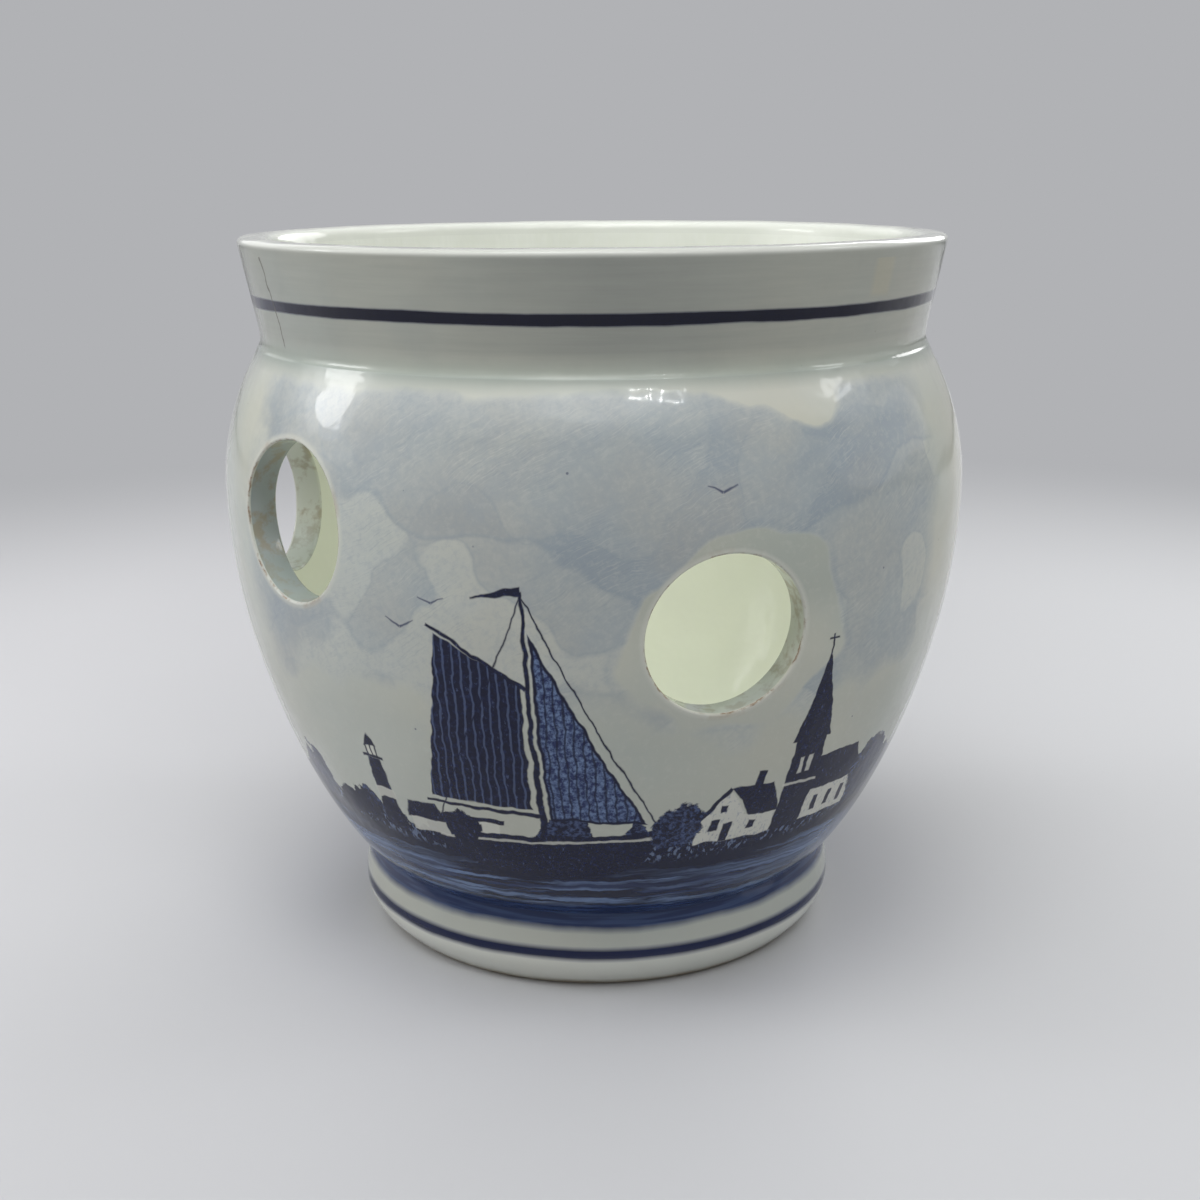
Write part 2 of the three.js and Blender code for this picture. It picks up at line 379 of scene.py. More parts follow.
# Wall of the pot
# Slip-cast earthenware, 5 mm thick, that swells to the belly, folds in at the neck and flares out again.
# Six planting holes were cut straight in through the leather-hard belly, and their edges sponged round.
WALL = 0.005
BELT = (0.06288, 0.0787)
NECK = (0.0552, 0.1016)
COLLAR_TOP = (0.0585, 0.1170)
BELLY_LEAN = math.radians(51.9)
SHOULDER_LEAN = math.radians(62)
BELLY_SEAM = 0.0497
SHOULDER_SEAM = 0.0938
HOLE_RADIUS = 0.0123
BELLY_START_PULL = 0.0098
BELLY_FULLNESS = 0.0293
SHOULDER_FULLNESS = 0.0115
NECK_PULL = 0.0024
FLOOR_ROUNDING = 0.003
HOLES = [
    (turn, BELT[1] - drop) for turn, drop in
    ((18.2, 0.0137), (90.0, 0.0015), (146.0, 0.0130), (202.0, 0.0010), (257.5, 0.0077), (312.3, 0.0002))
]
HOLE_CLEARING = 0.0146
HOLE_BLEND = 0.008
EDGE_ROUNDING = 0.00045
NECK_SOFTNESS = 0.0024
TOUCHING = 1e-6
LEVEL_FACE = 0.999
MAP_TURN = 50

belly_handle = (
    FOOT_TOP_RADIUS + BELLY_START_PULL * math.sin(BELLY_LEAN),
    FOOT_TOP_HEIGHT + BELLY_START_PULL * math.cos(BELLY_LEAN),
)
neck_handle = (NECK[0] + NECK_PULL * math.sin(SHOULDER_LEAN), NECK[1] - NECK_PULL * math.cos(SHOULDER_LEAN))
belly_line = (floor_rim, belly_handle, (BELT[0], BELT[1] - BELLY_FULLNESS), BELT, 52)
shoulder_line = (BELT, (BELT[0], BELT[1] + SHOULDER_FULLNESS), neck_handle, NECK, 20)
collar_line = (NECK, between(NECK, COLLAR_TOP, 0.02), between(NECK, COLLAR_TOP, 0.55), COLLAR_TOP, 15)


def sampled(line):
    """Radius and height all along one line of the section."""
    share = np.linspace(0, 1, 401)[:, None]
    start, first, second, end = (np.array(point) for point in line[:4])
    near = (1 - share) ** 3 * start + 3 * (1 - share) ** 2 * share * first
    return near + 3 * (1 - share) * share ** 2 * second + share ** 3 * end


def set_in(points):
    """The same line one wall thickness further in."""
    along = np.gradient(points, axis=0)
    along /= np.linalg.norm(along, axis=1)[:, None]
    return points + WALL * np.stack([-along[:, 1], along[:, 0]], axis=1)


belly, shoulder = sampled(belly_line), sampled(shoulder_line)
along_collar = np.array(COLLAR_TOP) - NECK
outside = np.concatenate([belly, shoulder[1:], [np.array(COLLAR_TOP) + along_collar * 0.2]])
collar_slope = along_collar[0] / along_collar[1]


def outer_radius(height):
    """The outside of the wall, with the fold at the neck softened by clay and glaze."""
    radius = np.interp(height, outside[:, 1], outside[:, 0])
    below = NECK[0] - (height - NECK[1]) * math.tan(SHOULDER_LEAN)
    beyond = NECK[0] + (height - NECK[1]) * collar_slope
    apart = abs(below - beyond)
    return radius + np.maximum((np.sqrt(apart ** 2 + NECK_SOFTNESS ** 2) - apart) / 2 - 0.00003, 0)


shoulder_inside = set_in(shoulder)
fold_start = math.atan2(shoulder_inside[-1, 1] - NECK[1], shoulder_inside[-1, 0] - NECK[0]) % (2 * math.pi)
fold_end = math.pi - math.atan(collar_slope)
fold = np.linspace(fold_start, fold_end, 60)
fold = np.stack([NECK[0] + WALL * np.cos(fold), NECK[1] + WALL * np.sin(fold)], axis=1)
belly_inside = set_in(belly)
above_floor = belly_inside[0, 1] - FOOT_TOP_HEIGHT
corner = np.array([belly_inside[0, 0] - above_floor * math.tan(BELLY_LEAN), FOOT_TOP_HEIGHT])
share = np.linspace(0, 1, 30)[:, None]
rise = np.array([math.sin(BELLY_LEAN), math.cos(BELLY_LEAN)]) * FLOOR_ROUNDING
corner_round = (1 - share) ** 2 * (corner - [FLOOR_ROUNDING, 0]) + 2 * share * (1 - share) * corner
corner_round = corner_round + share ** 2 * (corner + rise)
inside = np.concatenate([corner_round, belly_inside, shoulder_inside, fold, [fold[-1] + along_collar * 1.2]])
inside = inside[np.argsort(inside[:, 1], kind="stable")]


def inner_radius(height):
    """The inside of the wall, rounded where it meets the floor and where it folds at the neck."""
    return np.interp(height, inside[:, 1], inside[:, 0])


def seen_from_hole(places, turn):
    """Places measured from the pot's axis: across the hole's own axis and out along it."""
    angle = math.radians(turn)
    across = places[:, 0] * math.cos(angle) + places[:, 1] * math.sin(angle)
    out = places[:, 0] * math.sin(angle) - places[:, 1] * math.cos(angle)
    return across, out


def onto_wall(across, radius, height, turn):
    """Places at a radius from the pot's axis that lie so far across a hole's own axis."""
    out = np.sqrt(radius ** 2 - across ** 2)
    angle = math.radians(turn)
    x = across * math.cos(angle) + out * math.sin(angle)
    y = across * math.sin(angle) - out * math.cos(angle)
    return np.stack([x, y, height], axis=1)


def places_of(made):
    places = np.empty(len(made.data.vertices) * 3)
    made.data.vertices.foreach_get("co", places)
    return places.reshape(-1, 3)


def from_axis(places):
    return np.hypot(places[:, 0], places[:, 1])


def to_nearest_hole(places):
    """How far each place is from the nearest hole's axis, in metres."""
    nearest = np.full(len(places), 1.0)
    for turn, middle in HOLES:
        across, out = seen_from_hole(places, turn)
        away = np.hypot(across, places[:, 2] - middle)
        nearest = np.where(out > 0, np.minimum(nearest, away), nearest)
    return nearest


wall = turned("wall_of_the_pot", [belly_line, shoulder_line, collar_line])
for seam in (BELLY_SEAM, SHOULDER_SEAM):
    enter("EDIT")
    bpy.ops.mesh.select_all(action="SELECT")
    bpy.ops.mesh.bisect(plane_co=(0, 0, seam), plane_no=(0, 0, 1))
    enter("OBJECT")

for turn, middle in HOLES:
    places = places_of(wall)
    across, out = seen_from_hole(places, turn)
    spread = math.asin(HOLE_CLEARING / outer_radius(middle))
    clearing = (abs(np.arctan2(across, out)) < spread) & (abs(places[:, 2] - middle) < HOLE_CLEARING)
    pick(wall, "vertices", np.flatnonzero(clearing))
    bpy.ops.mesh.delete(type="VERT")
    enter("OBJECT")
    places = places_of(wall)
    across, out = seen_from_hole(places, turn)
    ends = np.array([edge.vertices[:] for edge in wall.data.edges])
    uses = np.bincount([loop.edge_index for loop in wall.data.loops], minlength=len(ends))
    beside = (abs(across) < 2 * HOLE_CLEARING) & (abs(places[:, 2] - middle) < 1.6 * HOLE_CLEARING)
    beside &= out > 0
    rim = (uses == 1) & beside[ends[:, 0]] & beside[ends[:, 1]]
    enter("EDIT")
    bpy.ops.mesh.select_all(action="DESELECT")
    angle = math.radians(turn)
    reach = float(outer_radius(middle))
    bpy.ops.mesh.primitive_circle_add(
        vertices=int(rim.sum()), radius=HOLE_RADIUS, rotation=(math.pi / 2, 0, angle),
        location=(reach * math.sin(angle), -reach * math.cos(angle), middle),
    )
    enter("OBJECT")
    ring = [edge.index for edge in wall.data.edges if edge.select]
    pick(wall, "edges", list(np.flatnonzero(rim)) + ring)
    bpy.ops.mesh.bridge_edge_loops(number_cuts=1, interpolation="LINEAR")
    enter("OBJECT")
places = places_of(wall)
pressed = places.copy()
pressed[:, :2] *= (outer_radius(places[:, 2]) / from_axis(places))[:, None]
for turn, middle in HOLES:
    across, out = seen_from_hole(places, turn)
    patch = (abs(across) < HOLE_CLEARING) & (abs(places[:, 2] - middle) < HOLE_CLEARING) & (out > 0)
    across, height = across[patch], places[patch, 2]
    pressed[patch] = onto_wall(across, outer_radius(height), height, turn)
wall.data.vertices.foreach_set("co", pressed.ravel())
skin_count = len(pressed)

only(wall)
bpy.ops.object.modifier_add(type="SOLIDIFY")
wall.modifiers[-1].thickness = WALL
wall.modifiers[-1].offset = -1
bpy.ops.object.modifier_apply(modifier=wall.modifiers[-1].name)
height = pressed[:, 2]
deep = pressed.copy()
deep[:, :2] *= (inner_radius(height) / from_axis(pressed))[:, None]
for turn, middle in HOLES:
    across, out = seen_from_hole(pressed, turn)
    away = np.hypot(across, height - middle)
    near = (away < HOLE_RADIUS + HOLE_BLEND) & (out > 0)
    turned_in, _ = seen_from_hole(deep[near], turn)
    pull = np.clip((away[near] - HOLE_RADIUS) / HOLE_BLEND, 0, 1)
    pull = pull * pull * (3 - 2 * pull)
    across = across[near] * (1 - pull) + turned_in * pull
    deep[near] = onto_wall(across, inner_radius(height[near]), height[near], turn)
wall.data.vertices.foreach_set("co", np.concatenate([pressed, deep]).ravel())

places = places_of(wall)
on_edge = abs(to_nearest_hole(places) - HOLE_RADIUS) < TOUCHING
sharp = [
    edge.index for edge in wall.data.edges
    if on_edge[edge.vertices[0]] and on_edge[edge.vertices[1]]
    and (edge.vertices[0] < skin_count) == (edge.vertices[1] < skin_count)
]
pick(wall, "edges", sharp)
bpy.ops.mesh.bevel(offset=EDGE_ROUNDING, offset_type="OFFSET", segments=5, affect="EDGES", clamp_overlap=True)
face_outwards()
places = places_of(wall)
flat = from_axis(places)
clear_of_edge = to_nearest_hole(places) > HOLE_RADIUS + EDGE_ROUNDING * 0.7
for skin in (outer_radius(places[:, 2]), inner_radius(places[:, 2])):
    close = clear_of_edge & (abs(flat - skin) < 0.0001)
    places[close, :2] *= (skin / flat)[close, None]
wall.data.vertices.foreach_set("co", places.ravel())


def skins_of(made):
    """The places of the vertices, and which of them lie on the outside of the wall and on its inside."""
    places = places_of(made)
    flat = from_axis(places)
    clear_of_edge = to_nearest_hole(places) > HOLE_RADIUS + EDGE_ROUNDING * 0.7
    on_outside = clear_of_edge & (abs(flat - outer_radius(places[:, 2])) < TOUCHING)
    on_inside = clear_of_edge & (abs(flat - inner_radius(places[:, 2])) < TOUCHING)
    return places, on_outside, on_inside


def split_off(made, name, low, high):
    """Parts off the wall between two heights."""
    only(made)
    middles = np.array([face.center[2] for face in made.data.polygons])
    pick(made, "polygons", np.flatnonzero((middles > low) & (middles < high)))
    bpy.ops.mesh.separate(type="SELECTED")
    enter("OBJECT")
    part = next(piece for piece in bpy.context.selected_objects if piece != made)
    part.name = part.data.name = name
    return part


def close_cuts(made):
    """Joins the outside to the inside wherever the wall was parted."""
    for seam in (BELLY_SEAM, SHOULDER_SEAM, NECK[1]):
        only(made)
        enter("EDIT")
        bpy.ops.mesh.select_mode(type="EDGE")
        bpy.ops.mesh.select_all(action="DESELECT")
        bpy.ops.mesh.select_non_manifold()
        enter("OBJECT")
        places = places_of(made)
        level = abs(places[:, 2] - seam) < TOUCHING
        cut = [
            edge.index for edge in made.data.edges
            if edge.select and level[edge.vertices[0]] and level[edge.vertices[1]]
        ]
        if cut:
            pick(made, "edges", cut)
            bpy.ops.mesh.bridge_edge_loops()
            face_outwards()


lower_belly = split_off(wall, "painted_lower_belly", 0.0, BELLY_SEAM)
collar = split_off(wall, "glazed_collar", NECK[1], 1.0)
shoulder_wall = split_off(wall, "painted_shoulder", SHOULDER_SEAM, NECK[1])
wall.name = wall.data.name = "painted_pierced_belly"
pierced_belly = wall
wall_parts = (lower_belly, pierced_belly, shoulder_wall, collar)
for part in wall_parts:
    close_cuts(part)


def slope_of(radius_at, height):
    step = 0.0001
    return (radius_at(height + step) - radius_at(height - step)) / (2 * step)


def settle_shading(made):
    """Shades the skins as the true curve of the section, so that no seam or facet shows in the glaze."""
    only(made)
    bpy.ops.object.shade_smooth_by_angle(angle=SMOOTH_BELOW)
    places, on_outside, on_inside = skins_of(made)
    around = places[:, :2] / from_axis(places)[:, None].clip(1e-9)
    true = np.zeros_like(places)
    for on_skin, radius_at, side in ((on_outside, outer_radius, 1), (on_inside, inner_radius, -1)):
        facing = np.column_stack([around, -slope_of(radius_at, places[:, 2])])
        facing *= side / np.linalg.norm(facing, axis=1)[:, None]
        true[on_skin] = facing[on_skin]
    ends = np.array([loop.vertex_index for loop in made.data.loops])
    normals = true[ends]
    for face in made.data.polygons:
        if abs(face.normal[2]) > LEVEL_FACE:
            normals[list(face.loop_indices)] = 0
    made.data.normals_split_custom_set(normals.tolist())


def mark_holes(made):
    """Writes how far each place is from a hole's edge in millimetres or how deep inside one, and how far
    above the hole's centre."""
    places, on_outside, on_inside = skins_of(made)
    reach = (to_nearest_hole(places) - HOLE_RADIUS) * 1000
    depth = (outer_radius(places[:, 2]) - from_axis(places)) * 1000
    reach = np.where(on_outside | on_inside, reach, -depth)
    made.data.attributes.new("hole_reach", "FLOAT", "POINT").data.foreach_set("value", reach)
    rise = np.zeros(len(places))
    for turn, middle in HOLES:
        across, out = seen_from_hole(places, turn)
        level = places[:, 2] - middle
        near = (out > 0) & (np.hypot(across, level) < HOLE_RADIUS + 0.004)
        rise[near] = level[near] * 1000
    made.data.attributes.new("hole_rise", "FLOAT", "POINT").data.foreach_set("value", rise)


def wrapped(angle):
    """The same angle between -180 and 180 degrees."""
    return (angle + 180) % 360 - 180


def degrees_of(across, up):
    return np.degrees(np.arctan2(across, up))


def lay_out_map(made, strips):
    """Opens the skin out into strips, one above another, so that a baked map keeps the brushwork sharp.
    The outside lies lowest, then the inside, the hole walls and at the top the level cuts."""
    places, on_outside, on_inside = skins_of(made)
    loops = np.array([loop.vertex_index for loop in made.data.loops])
    sizes = np.array([face.loop_total for face in made.data.polygons])
    owner = np.repeat(np.arange(len(sizes)), sizes)
    whole_out = (np.bincount(owner, on_outside[loops]) == sizes)[owner]
    whole_in = (np.bincount(owner, on_inside[loops]) == sizes)[owner]
    level = np.array([abs(face.normal[2]) > LEVEL_FACE for face in made.data.polygons])[owner]
    centres = np.array([face.center[:] for face in made.data.polygons])[owner]
    places = places[loops]
    turn, face_turn = (degrees_of(spots[:, 0], -spots[:, 1]) for spots in (places, centres))
    low, high = places[:, 2].min(), places[:, 2].max()
    rise = (places[:, 2] - low) / (high - low)
    width = 360 / strips
    strip = np.floor(((face_turn - MAP_TURN) % 360) / width)
    share = wrapped(turn - (MAP_TURN + strip * width)) / width
    share = np.where(share < -1, share + 360 / width, share)
    flat_map = np.zeros((len(loops), 2))
    for here, bottom, height in ((whole_out, 0.005, 0.77), (whole_in, 0.785, 0.15)):
        flat_map[here, 0] = 0.01 + 0.98 * share[here]
        flat_map[here, 1] = bottom + (strip[here] + 0.04 + 0.92 * rise[here]) * (height / strips)
    cut = level & ~whole_out & ~whole_in
    away = from_axis(places)
    thick = (away - away.min()) / (away.max() - away.min() + 1e-9)
    upper = centres[:, 2] > (low + high) / 2
    flat_map[cut, 0] = 0.01 + 0.98 * ((wrapped(turn - face_turn) + face_turn + 180) / 360)[cut]
    flat_map[cut, 1] = 0.985 + 0.005 * thick[cut] + 0.007 * upper[cut]
    tunnel = ~(whole_out | whole_in | cut)
    for number, (hole_turn, middle) in enumerate(HOLES):
        across, out = seen_from_hole(places, hole_turn)
        face_across, face_out = seen_from_hole(centres, hole_turn)
        face_rise = centres[:, 2] - middle
        here = tunnel & (face_out > 0) & (np.hypot(face_across, face_rise) < 0.02)
        angle, face_angle = degrees_of(places[:, 2] - middle, across), degrees_of(face_rise, face_across)
        bent = wrapped(angle - face_angle) + face_angle + 180
        flat_map[here, 0] = (number + 0.03 + 0.94 * (bent[here] / 360)) / len(HOLES)
        flat_map[here, 1] = 0.938 + 0.04 * np.clip((0.064 - out[here]) / 0.012, 0, 1)
    made.data.uv_layers.new(name="OFBake").data.foreach_set("uv", flat_map.ravel())


for part, strips in zip(wall_parts, (3, 3, 6, 6)):
    mark_holes(part)
    settle_shading(part)
    lay_out_map(part, strips)

# Painting on the wall
# A landscape in cobalt under a clear gloss glaze: a thin wash for the sky, pulled with a wide soft brush,
# and over it a fine dark print of a barge, a village and the water's edge, touched in by hand.
INK = tint(9, 16, 48)
INK_WORN = tint(34, 46, 90)
INK_PALE = tint(92, 108, 146)
SKY_WASH = tint(183, 189, 188)
SKY_DEEP = tint(152, 163, 171)
SKY_GREY = tint(163, 168, 169)
WATER = tint(46, 60, 98)
WATER_LIGHT = tint(108, 130, 168)
WATER_DEEP = tint(14, 22, 52)
PAPER_WHITE = tint(206, 207, 198)
DEGREES = 57.3              # in a radian, near enough for paint
HALO_MIDDLE = (20.6, -58.4, 65.6)
HALF_ROUND = 137            # millimetres further along the brush strokes behind, so that those differ

painted = Finish("cobalt_painting_under_glaze")
noise, mix, lay, together = painted.noise, painted.mix, painted.lay, painted.together
reach = painted.stored("hole_reach")
shake = painted.vector("SUBTRACT", noise(0.3, 2.0, out="Color"), (0.5, 0.5, 0.5))
shaken = painted.vector("MULTIPLY_ADD", shake, (1.3, 1.3, 1.3), painted.where)
across, inwards, height = painted.parts(shaken)
around = painted.vector("LENGTH", together(across, inwards, 0.0), out="Value")
turn = across.math("ARCTAN2", -inwards)
side = turn.math("WRAP", math.pi / 2, -math.pi / 2)
behind = abs(turn).over(math.pi / 2, 0.001)


def spot(degrees, back=False):
    """Millimetres to the right of a turn, and millimetres up, for drawing at that turn."""
    from_here = turn - math.radians(degrees)
    if back:
        from_here = from_here.math("WRAP", math.pi, -math.pi)
    return together(from_here * around, height, 1.0)


def outline(at, *corners):
    """How far a place is outside a shape with straight sides that bulges nowhere inward."""
    middle = [sum(corner[i] for corner in corners) / len(corners) for i in (0, 1)]
    shape = None
    for start, end in zip(corners, corners[1:] + corners[:1]):
        length = math.hypot(end[0] - start[0], end[1] - start[1])
        right = ((end[1] - start[1]) / length, (start[0] - end[0]) / length)
        offset = right[0] * start[0] + right[1] * start[1]
        if right[0] * middle[0] + right[1] * middle[1] > offset:
            right, offset = (-right[0], -right[1]), -offset
        away = painted.vector("DOT_PRODUCT", at, (right[0], right[1], -offset), out="Value")
        shape = shape.larger(away) if shape else away
    return shape


def line(at, start, end, width, end_width=None):
    """One straight stroke of a fine brush."""
    length = math.hypot(end[0] - start[0], end[1] - start[1])
    side = ((start[1] - end[1]) / length / 2, (end[0] - start[0]) / length / 2)
    end_width = end_width or width
    return outline(
        at, (start[0] + side[0] * width, start[1] + side[1] * width),
        (end[0] + side[0] * end_width, end[1] + side[1] * end_width),
        (end[0] - side[0] * end_width, end[1] - side[1] * end_width),
        (start[0] - side[0] * width, start[1] - side[1] * width),
    )


def box(at, left, low, right, high):
    return outline(at, (left, low), (right, low), (right, high), (left, high))


def tree(at, x, z, radius, ragged):
    """A round tree with a ragged edge."""
    away = painted.vector("DISTANCE", at, (x, z, 1.0), out="Value")
    return away - radius + ragged


def fill(colour, *shapes, share=1.0, soft=0.22):
    """Lays a colour inside any of some shapes."""
    joined = shapes[0]
    for shape in shapes[1:]:
        joined = joined.smaller(shape)
    lay(joined.under(0.0, soft) * share, colour)


# painted shade: the bare glaze darkens towards the bottom of the wall, where the belly turns under
glaze = mix(height.under(58, 16) * 0.48, cream_glaze(painted), tint(176, 180, 172))

# the sky
billow = noise(0.045, 2.0)
lump = {"Vector": painted.where, "Scale": 0.075, "Smoothness": 0.35}
lumps = painted.node("ShaderNodeTexVoronoi", {"feature": "SMOOTH_F1"}, lump, "Distance")
banks = noise(0.062, 1.0, painted.vector("ADD", shaken, (40.0, 25.0, 60.0))) + lumps * 0.22
cloud = billow * 30 + lumps * 14
end_of_wash = abs(side) * DEGREES + cloud * 0.35
sky = end_of_wash.under(64, 7.0) * (height + cloud * 0.9).over(73, 5.0)
from_front_hole = painted.vector("DISTANCE", painted.where, HALO_MIDDLE, out="Value")
from_front_hole = from_front_hole + billow * 16 + lumps * 5 - 10.5
clear_ring = from_front_hole.over(17.6, 0.7)
clear_ring = clear_ring * reach.over(0.9, 0.9).larger(0.35)
gaps = noise(0.05, 2.0, painted.vector("ADD", shaken, (15.0, 80.0, 30.0)))
under_neck = (height + gaps * 26).under(112.4, 1.6) * (height + gaps * 3).under(100.6, 1.5)
sky = sky * clear_ring * under_neck
along = side * around + behind * HALF_ROUND
stroke = along * 0.88 + height * 0.47
hair = height * 0.88 - along * 0.47 + noise(0.03, 1.0) * 11
bristles = noise(1.0, 5.0, together(stroke * 0.07, hair * 1.1, behind * 20), 0.7)
scratches = noise(1.0, 3.0, together(stroke * 0.24, hair * 4.6, behind * 20 + 7.0), 0.6)
broad = noise(1.0, 2.0, together(stroke * 0.035, hair * 0.2, behind * 20 + 3.0))
worked = noise(0.07, 3.0).over(0.5, 0.16)
cloud_foot = height + cloud * 1.15 + abs(side - 0.15) * -16
deep_low = cloud_foot.over(100, 1.2)
deep_left = (end_of_wash + height * 0.25 - lumps * 20).band(66, 15, 3.0) * (side + 0.2).under(0.0, 0.3)
deep = deep_low.larger(deep_left) * sky
bank_of_cloud = banks.over(0.64, 0.022) * sky
edge_of_cloud = cloud_foot.band(101, 1.2, 1.0) * sky
edge_of_cloud = edge_of_cloud.larger(banks.band(0.652, 0.008, 0.014) * sky * 0.8)
edge_of_cloud = edge_of_cloud.larger(from_front_hole.band(18.5, 0.6, 0.9) * sky * 0.7)
halo = from_front_hole.under(17.6, 0.9) * height.over(66.0, 10.0)
glaze = mix(halo * 0.42, glaze, tint(150, 158, 150))
deep_tone = mix(noise(0.06, 2.0).over(0.5, 0.2), SKY_DEEP, SKY_GREY)
painted.colour = mix(sky * (0.5 + (broad - 0.5) * 0.9), glaze, SKY_WASH)
lay(deep * (0.42 + broad * 0.5 + worked * (bristles - 0.5) * 0.7), deep_tone)
lay(bank_of_cloud * (0.3 + broad * 0.4), deep_tone)
lay(edge_of_cloud * 0.42, SKY_DEEP)
lay(sky * (worked + 0.06) * scratches.over(0.6, 0.06) * 0.3, PAPER_WHITE)
lay(sky * (worked + 0.06) * scratches.under(0.4, 0.06) * 0.3, tint(144, 153, 164))
# painted light: the wash is lightened over the left side, where the light falls from the left, and over the
# top of the shoulder, which faces the lamps overhead
painted_light_on_wash = side.band(-0.72, 0.45, 0.4) * 0.16 + height.over(96.0, 5.0) * 0.3
lay(painted_light_on_wash, tint(218, 222, 218))
mottle = noise(0.9, 4.0, rough=0.7)
lay(sky * mottle.over(0.56, 0.12) * 0.2, tint(150, 160, 172))
lay(mottle.under(0.42, 0.1) * 0.15, PAPER_WHITE)
dot_away, dot_chance, dot_size = painted.cells(0.3)
dot = (dot_away - dot_size * 0.06).under(0.03, 0.03) * dot_chance.over(0.93, 0.02)
lay(dot * 0.6, INK_WORN)

# the water
shore = (turn * turn).smaller(1.0) * 3.4 + 26.8
ripple = noise(0.8, 2.0, painted.stretched(LEVEL, shaken))
fine_ripple = noise(1.8, 2.0, painted.stretched(LEVEL, shaken))
water = (height - shore).under(0.0, 0.5)
pale_water = abs(side).over(0.75, 0.8) * 0.55
water_tone = mix((ripple - pale_water * 0.18).over(0.45, 0.16), WATER_LIGHT, WATER)
water_tone = mix(fine_ripple.over(0.5, 0.16) * (0.8 - pale_water), water_tone, WATER_DEEP)
water_tone = mix((height - shore + ripple * 6).over(-1.5, 2.5), water_tone, WATER_DEEP)
streaked = mix(fine_ripple.over(0.48, 0.14) * 0.75, WATER_EDGE, WATER_EDGE_STREAK)
lowest = height.under(15.6, 4.0) * (0.9 - ripple.under(0.44, 0.1) * 0.45)
water_tone = mix(lowest, water_tone, streaked)
rough_tops = noise(0.55, 4.0, rough=0.65)
clumps = noise(0.11, 1.0, together(across, inwards, 0.0))
far_trees = (height - shore - (clumps * 26 - 10.5).larger(0.6) - rough_tops * 3.2).under(0.0, 0.35)
bank = (abs(height - shore - 0.9) - rough_tops * 2.6).under(0.2, 0.4)
blades = noise(1.0, 2.0, painted.stretched((1.5, 1.5, 0.34), shaken))
grass = blades.over(0.57, 0.07) * (height - shore).band(1.0, 3.6, 1.4)
print_grain = noise(1.3, 4.0, rough=0.7)
hatching = noise(1.0, 2.0, painted.stretched((2.6, 2.6, 0.5), shaken))
ink = mix(print_grain.over(0.6, 0.18) * 0.7, INK, INK_WORN)
ink = mix(hatching.over(0.64, 0.08) * print_grain.over(0.54, 0.1) * 0.45, ink, INK_PALE)
far_ink = mix(print_grain.over(0.53, 0.16) * 0.85, INK, tint(72, 88, 128))
lay(far_trees, far_ink)
lay(water, water_tone)
lay(bank, ink)
lay(grass * 0.7, tint(118, 134, 164))

# the barge
at = spot(-9.5)
hull = outline(at, (-17.5, 30.8), (-15.6, 26.2), (-9, 23.6), (9, 23.3), (15, 25.4), (19.4, 32.4))
main_sail = outline(at, (-0.5, 36.6), (-16.8, 37.4), (-13.4, 65.6), (-0.6, 58.2))
fore_sail = outline(at, (2.0, 34.9), (16.6, 34.0), (1.0, 66.0))
spars = (
    line(at, (1.0, 31), (0.1, 72.6), 1.1, 0.55), line(at, (0.8, 35.6), (-17.8, 36.5), 0.75, 0.5),
    line(at, (0.2, 57.6), (-14.4, 66.9), 0.75, 0.45), line(at, (0.3, 71.6), (19.0, 32.3), 0.3),
    line(at, (0.1, 71.8), (-17.0, 31.2), 0.24), line(at, (0.2, 72.6), (-7.4, 71.4), 1.5, 0.2),
    line(at, (15.0, 31.2), (23.0, 35.0), 0.7, 0.4),
)
cabin = box(at, -14.8, 30, -6.0, 33.6)
cabin_roof = line(at, (-15.6, 34.0), (-5.2, 33.7), 0.9)
cabin_windows = (box(at, -13.4, 31.4, -11.9, 32.8), box(at, -10.4, 31.4, -8.9, 32.8))
rubbing_strake = line(at, (-16.6, 29.6), (18.0, 31.0), 0.5)
sail_across, _, _ = painted.parts(at)
cloths = abs(sail_across.math("PINGPONG", 1.35) - 0.675).over(0.52, 0.12)
reflection = (abs(sail_across + (ripple - 0.5) * 16) - 15).larger(abs(height - 20.2) - 3.6)
fill(INK, reflection, share=fine_ripple.over(0.44, 0.12) * 0.85, soft=1.6)
fill(mix(cloths * 0.55, ink, INK_PALE), main_sail)
fore_tone = mix(print_grain.over(0.52, 0.2), INK_WORN, WATER_LIGHT)
fill(mix(cloths * 0.8, fore_tone, INK), fore_sail)
fill(INK, abs(fore_sail + 0.2) - 0.22)
fill(PAPER_WHITE, cabin)
fill(ink, hull, *spars, cabin_roof, *cabin_windows)
fill(PAPER_WHITE, rubbing_strake, share=0.75)

# the village
at = spot(35.5)
walls = (
    outline(at, (-16.5, 29), (-9.5, 29), (-9.5, 33.8), (-13, 38.6), (-16.5, 33.8)),
    box(at, -9.6, 29, -3.0, 33.4), box(at, 2.6, 29.5, 14.0, 35.4),
)
roofs = (
    outline(at, (2.2, 35.2), (14.9, 35.2), (12.4, 41.6), (2.2, 41.6)),
    outline(at, (-13.0, 39.2), (-8.6, 33.2), (-3.0, 33.2), (-5.4, 39.0)),
    line(at, (-17.2, 33.1), (-13.0, 39.2), 0.9, 0.7), box(at, -9.2, 38.4, -7.5, 41.4),
)
tower = (
    box(at, -3.3, 29, 2.9, 45.6), outline(at, (-4.0, 45.4), (3.6, 45.4), (-0.2, 60.5)),
    line(at, (-0.2, 59.0), (-0.2, 63.0), 0.35), line(at, (-1.1, 62.2), (0.9, 62.2), 0.35),
)
tower_lights = (
    box(at, -1.5, 39.4, -0.6, 42.4), box(at, 0.3, 39.4, 1.2, 42.4), box(at, -3.6, 37.2, 3.2, 37.7),
)
